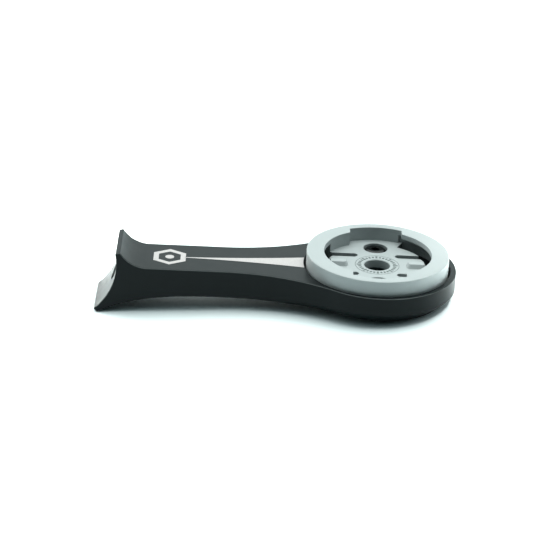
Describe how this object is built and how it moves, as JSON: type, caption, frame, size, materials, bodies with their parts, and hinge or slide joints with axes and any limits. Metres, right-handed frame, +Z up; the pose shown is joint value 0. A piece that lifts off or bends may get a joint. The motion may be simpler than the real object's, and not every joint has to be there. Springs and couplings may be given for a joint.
{
  "type": "cycling computer mount",
  "caption": "Out-front arm with a concave handlebar saddle at one end and a round dish at the other, holding a twist-lock socket for a cycling computer.",
  "frame": {"origin": "centre of the bounding box in X and Y, at its lowest point, which is the tip of the saddle's lower lip", "axes": "+X from the handlebar saddle to the free end of the dish, +Z up through the socket, the way the computer leaves it, +Y to the left"},
  "size_m": [0.0892, 0.0384, 0.0162],
  "materials": {
    "anodised_black": "satin black anodised",
    "insert_grey": "satin light blue-grey moulded",
    "screw_black": "black oxide steel"
  },
  "bodies": {
    "mount": {"arm": "anodised_black", "twist_lock_insert": "insert_grey", "insert_screw_left": "screw_black", "insert_screw_right": "screw_black"},
    "front_finger": {"spring_finger_front": "insert_grey"},
    "rear_finger": {"spring_finger_rear": "insert_grey"}
  },
  "joints": [
    {"name": "front_finger_flex", "type": "hinge", "parent": "mount", "child": "front_finger", "pos_m": [0.03043, 0, 0.01201], "axis": [0, 1, 0], "range_deg": [0, 6.5], "stiffness_Nm_per_rad": 0.3},
    {"name": "rear_finger_flex", "type": "hinge", "parent": "mount", "child": "rear_finger", "pos_m": [0.01953, 0, 0.01201], "axis": [0, -1, 0], "range_deg": [0, 6.5], "stiffness_Nm_per_rad": 0.3}
  ]
}
